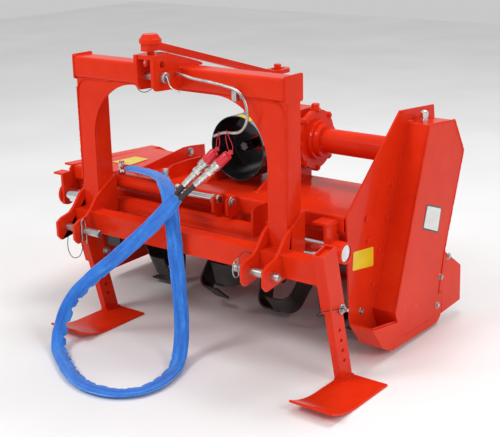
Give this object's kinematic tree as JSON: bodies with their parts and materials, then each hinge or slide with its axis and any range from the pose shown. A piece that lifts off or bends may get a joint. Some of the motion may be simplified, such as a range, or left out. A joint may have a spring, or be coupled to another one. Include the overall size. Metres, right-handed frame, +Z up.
{
  "type": "rotary tiller",
  "caption": "Side-shift rotary tiller for a tractor's three-point linkage, with chain drive, curved blades, skids and a rear levelling board.",
  "frame": {"origin": "on the ground, under the middle of the machine's box without its hoses", "axes": "+Z up, +X across the machine toward the chain case, +Y rearward, away from the tractor"},
  "size_m": [1.554, 1.4207, 1.142],
  "materials": {
    "red_paint": "gloss",
    "black_paint": "satin",
    "rotor_paint": "satin",
    "black_plastic": "gloss",
    "chrome": "polished",
    "zinc": "satin",
    "coupler": "polished",
    "blue_sleeve": "matt"
  },
  "bodies": {
    "hitch_frame": {"crossbeam": "red_paint", "cylinder_barrel": "red_paint", "hitch_cheeks": "red_paint", "hose_couplers": "coupler", "hose_hook": "zinc", "hydraulic_hoses": "blue_sleeve", "lower_beam": "red_paint", "lower_hitch_pins": "zinc", "port_fittings": "red_paint", "portal_end_plates": "red_paint", "portal_legs": "red_paint", "portal_plate": "red_paint", "rail_sleeve": "red_paint", "skid_sockets": "red_paint", "stay_knob": "red_paint", "top_link_bracket": "red_paint", "top_link_pin": "zinc"},
    "tiller": {"hood": "red_paint", "side_plate_right": "red_paint", "side_plate_left": "red_paint", "drive_case": "red_paint", "guard_shoe": "red_paint", "rear_wing": "red_paint", "bearing_hub": "red_paint", "gearbox_bearers": "red_paint", "gearbox": "red_paint", "axle_tube": "red_paint", "pto_shield": "black_plastic", "slide_rail": "chrome", "rail_bracket_left": "red_paint", "rail_bracket_right": "red_paint", "cylinder_rod": "chrome", "rod_clevis": "red_paint", "board_rod": "zinc", "stay_post": "red_paint"},
    "rotor": {"rotor_shaft": "rotor_paint", "rotor_blades": "black_paint"},
    "pto_shaft": {"pto_stub": "zinc"},
    "levelling_board": {"levelling_board": "red_paint"},
    "skid_left": {"skid_left": "red_paint"},
    "skid_right": {"skid_right": "red_paint"},
    "top_stay": {"stay_bar": "red_paint"}
  },
  "joints": [
    {"name": "side_shift", "type": "slide", "parent": "hitch_frame", "child": "tiller", "axis": [1, 0, 0], "range_m": [-0.115, 0.045]},
    {"name": "rotor_spin", "type": "hinge", "parent": "tiller", "child": "rotor", "pos_m": [0.077, 0.12726, 0.249], "axis": [1, 0, 0], "continuous": true},
    {"name": "pto_spin", "type": "hinge", "parent": "tiller", "child": "pto_shaft", "pos_m": [0.012, 0.04226, 0.677], "axis": [0, 1, 0], "continuous": true},
    {"name": "board_swing", "type": "hinge", "parent": "tiller", "child": "levelling_board", "pos_m": [0.077, 0.47326, 0.412], "axis": [1, 0, 0], "range_deg": [0, 35]},
    {"name": "skid_left_height", "type": "slide", "parent": "hitch_frame", "child": "skid_left", "axis": [0, -0.2419, 0.9703], "range_m": [-0.05, 0.03]},
    {"name": "skid_right_height", "type": "slide", "parent": "hitch_frame", "child": "skid_right", "axis": [0, -0.2419, 0.9703], "range_m": [-0.05, 0.05]},
    {"name": "stay_swing", "type": "hinge", "parent": "hitch_frame", "child": "top_stay", "pos_m": [-0.029, -0.43774, 1.1], "axis": [0, 0, 1], "range_deg": [-4.38, 10.4]}
  ],
  "couplings": [
    {"joint": "pto_spin", "follows": "rotor_spin", "ratio": 2.35},
    {"joint": "stay_swing", "follows": "side_shift", "rad_per_m": -1.5032}
  ]
}
